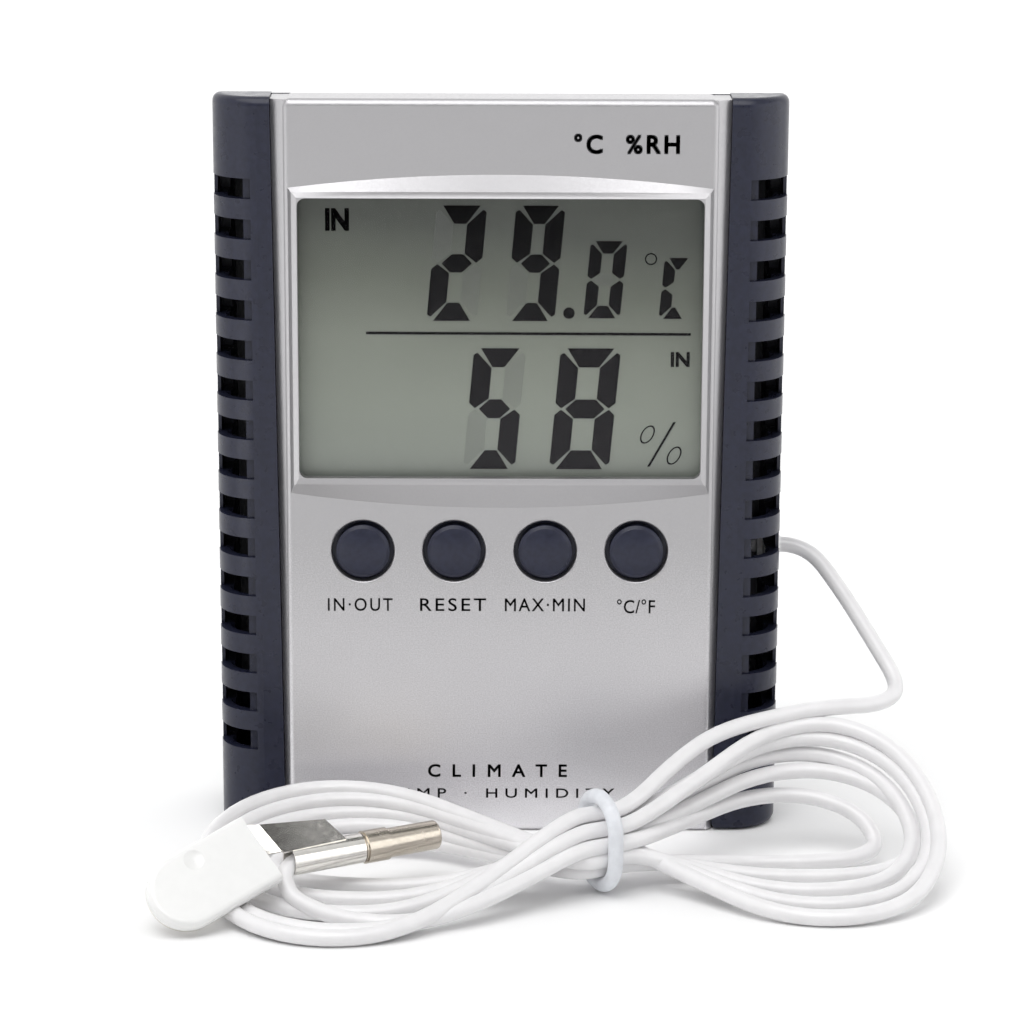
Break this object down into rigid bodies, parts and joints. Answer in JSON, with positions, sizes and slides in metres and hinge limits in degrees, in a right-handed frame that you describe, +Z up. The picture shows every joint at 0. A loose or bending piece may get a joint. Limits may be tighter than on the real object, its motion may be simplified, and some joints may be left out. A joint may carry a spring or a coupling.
{
  "type": "maximum minimum thermometer",
  "caption": "Upright digital indoor and outdoor thermometer with humidity, max-min memory, touch buttons, a folding rear leg and a coiled cord to a clip-on metal probe.",
  "frame": {"origin": "under the middle of the case, on the surface it stands on", "axes": "+Z up the case, +Y out of its back, the front faces -Y, +X to the right seen from the front"},
  "size_m": [0.1146, 0.0727, 0.1117],
  "materials": {
    "silver_paint": "fine metallic silver lacquer",
    "slate_plastic": "satin slate blue moulding",
    "clear_lens": "clear flat window",
    "lcd_glass": "grey-green reflective display",
    "inner_white": "plain white moulding",
    "zebra_rubber": "layered contact rubber",
    "board_green": "solder-masked board",
    "chip_black": "black moulded package",
    "crystal_can": "plain metal can",
    "sensor_white": "slotted sensor case",
    "bead_black": "dipped epoxy",
    "switch_black": "switch moulding",
    "button_plastic": "satin slate blue cap",
    "cell_can": "plain sleeved cell",
    "contact_plate": "nickel-plated spring steel",
    "screw_steel": "plated steel",
    "cord_pvc": "white soft vinyl",
    "tie_plastic": "white plastic ring",
    "probe_metal": "warm plated brass, polished",
    "clip_chrome": "bright plated sheet",
    "clip_white": "white moulding"
  },
  "bodies": {
    "case": {"front_cover": "silver_paint", "left_grille": "slate_plastic", "right_grille": "slate_plastic", "back_cover": "slate_plastic", "window_lens": "clear_lens", "lcd_glass": "lcd_glass", "lcd_holder": "inner_white", "zebra_strip": "zebra_rubber", "main_pcb": "board_green", "main_chip": "chip_black", "crystal": "crystal_can", "humidity_sensor": "sensor_white", "inner_thermistor": "bead_black", "key_switches": "switch_black", "battery": "cell_can", "battery_contact": "contact_plate", "battery_spring": "contact_plate", "case_screws": "screw_steel", "pcb_screws": "screw_steel", "cable_grommet": "cord_pvc", "cable_inner": "cord_pvc", "cable_lead": "cord_pvc", "cable_coil": "cord_pvc", "cable_tail": "cord_pvc", "tie_ring": "tie_plastic", "probe_capsule": "probe_metal", "probe_collar": "probe_metal", "probe_plug": "bead_black", "probe_thermistor": "bead_black", "clip_base": "clip_chrome", "clip_pin": "clip_chrome", "clip_spring": "contact_plate"},
    "button_in_out": {"button_in_out": "button_plastic", "plunger_in_out": "switch_black"},
    "button_reset": {"button_reset": "button_plastic", "plunger_reset": "switch_black"},
    "button_max_min": {"button_max_min": "button_plastic", "plunger_max_min": "switch_black"},
    "button_c_f": {"button_c_f": "button_plastic", "plunger_c_f": "switch_black"},
    "stand": {"stand": "slate_plastic"},
    "battery_door": {"battery_door": "slate_plastic"},
    "clip_jaw": {"clip_jaw": "clip_chrome", "clip_cover": "clip_white"}
  },
  "joints": [
    {"name": "button_in_out_press", "type": "slide", "parent": "case", "child": "button_in_out", "axis": [0, 1, 0], "range_m": [0, 0.0008], "stiffness_N_per_m": 1500, "springref_m": -0.0003},
    {"name": "button_reset_press", "type": "slide", "parent": "case", "child": "button_reset", "axis": [0, 1, 0], "range_m": [0, 0.0008], "stiffness_N_per_m": 1500, "springref_m": -0.0003},
    {"name": "button_max_min_press", "type": "slide", "parent": "case", "child": "button_max_min", "axis": [0, 1, 0], "range_m": [0, 0.0008], "stiffness_N_per_m": 1500, "springref_m": -0.0003},
    {"name": "button_c_f_press", "type": "slide", "parent": "case", "child": "button_c_f", "axis": [0, 1, 0], "range_m": [0, 0.0008], "stiffness_N_per_m": 1500, "springref_m": -0.0003},
    {"name": "stand_pivot", "type": "hinge", "parent": "case", "child": "stand", "pos_m": [0, 0.0106, 0.0635], "axis": [1, 0, 0], "range_deg": [0, 42]},
    {"name": "battery_door_pivot", "type": "hinge", "parent": "case", "child": "battery_door", "pos_m": [0, 0.0109, 0.0834], "axis": [1, 0, 0], "range_deg": [0, 80]},
    {"name": "clip_jaw_pivot", "type": "hinge", "parent": "case", "child": "clip_jaw", "pos_m": [-0.03502, -0.0466, 0.00863], "axis": [-0.5786, 0.4435, 0.6845], "range_deg": [0, 30], "stiffness_Nm_per_rad": 0.03, "springref_deg": -20.05}
  ]
}
